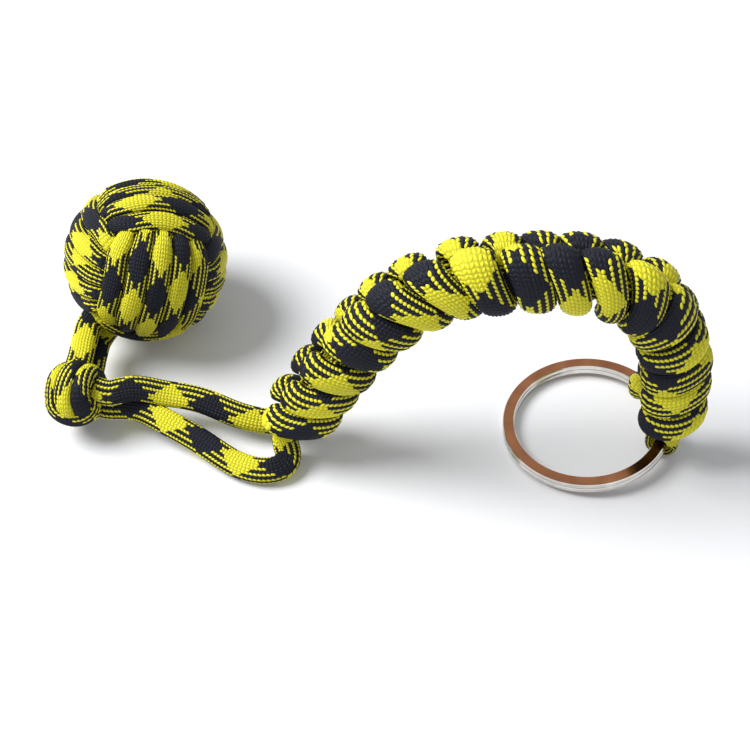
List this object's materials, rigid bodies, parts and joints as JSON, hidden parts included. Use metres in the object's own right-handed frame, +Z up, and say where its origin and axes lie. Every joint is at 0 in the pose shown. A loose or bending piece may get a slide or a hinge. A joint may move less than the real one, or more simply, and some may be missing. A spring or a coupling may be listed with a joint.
{
  "type": "monkey fist key fob",
  "caption": "Key fob of two-colour braided cord: a monkey fist knot over a steel ball, a stopper knot, an open loop and a snake sennit tied to a split ring.",
  "frame": {"origin": "middle of the footprint, on the table that the fob lies on", "axes": "+X from the fist and the knot towards the key ring, +Y away from the viewer of the picture, +Z up"},
  "size_m": [0.1208, 0.0604, 0.0537],
  "materials": {
    "cord": "braided nylon, half yellow and half navy",
    "ball": "plain",
    "ring": "plated, polished"
  },
  "bodies": {
    "foot": {"sennit_near_foot": "cord", "sennit_far_foot": "cord", "sennit_near_bend_left": "cord", "sennit_far_bend_left": "cord", "foot_turn_cord": "cord", "loop_cord_back": "cord", "loop_cord_front": "cord"},
    "crown": {"sennit_near_crown": "cord", "sennit_far_crown": "cord", "sennit_near_bend_right": "cord", "sennit_far_bend_right": "cord", "sennit_core_near": "cord", "sennit_core_far": "cord"},
    "leg": {"sennit_near_leg": "cord", "sennit_far_leg": "cord", "ring_eye_cord": "cord"},
    "ring": {"split_ring": "ring"},
    "knot": {"knot_wraps": "cord", "knot_heart": "cord", "neck_cord_left": "cord", "neck_cord_right": "cord"},
    "fist": {"fist_winding_front": "cord", "fist_winding_side": "cord", "fist_winding_top": "cord", "core_ball": "ball"}
  },
  "joints": [
    {"name": "sennit_bend_left", "type": "hinge", "parent": "foot", "child": "crown", "pos_m": [0.00591, -0.01779, 0.03925], "axis": [0, 1, 0], "range_deg": [-30, 30], "deforming": ["sennit_near_bend_left", "sennit_far_bend_left", "sennit_core_near", "sennit_core_far"]},
    {"name": "sennit_bend_right", "type": "hinge", "parent": "crown", "child": "leg", "pos_m": [0.03737, -0.01779, 0.04565], "axis": [0, 1, 0], "range_deg": [-30, 30], "deforming": ["sennit_near_bend_right", "sennit_far_bend_right", "sennit_core_near", "sennit_core_far"]},
    {"name": "ring_flop", "type": "hinge", "parent": "leg", "child": "ring", "pos_m": [0.05384, -0.01936, 0.00354], "axis": [0.3256, 0.9455, 0], "range_deg": [-235, 65]},
    {"name": "loop_fold", "type": "hinge", "parent": "foot", "child": "knot", "pos_m": [-0.03262, -0.01517, 0.00516], "axis": [0, 1, 0], "range_deg": [-75, 100], "deforming": ["loop_cord_back", "loop_cord_front"]},
    {"name": "fist_swing", "type": "hinge", "parent": "knot", "child": "fist", "pos_m": [-0.05366, -0.0011, 0.0089], "axis": [0, 0, 1], "range_deg": [-35, 45], "deforming": ["neck_cord_left", "neck_cord_right"]}
  ]
}
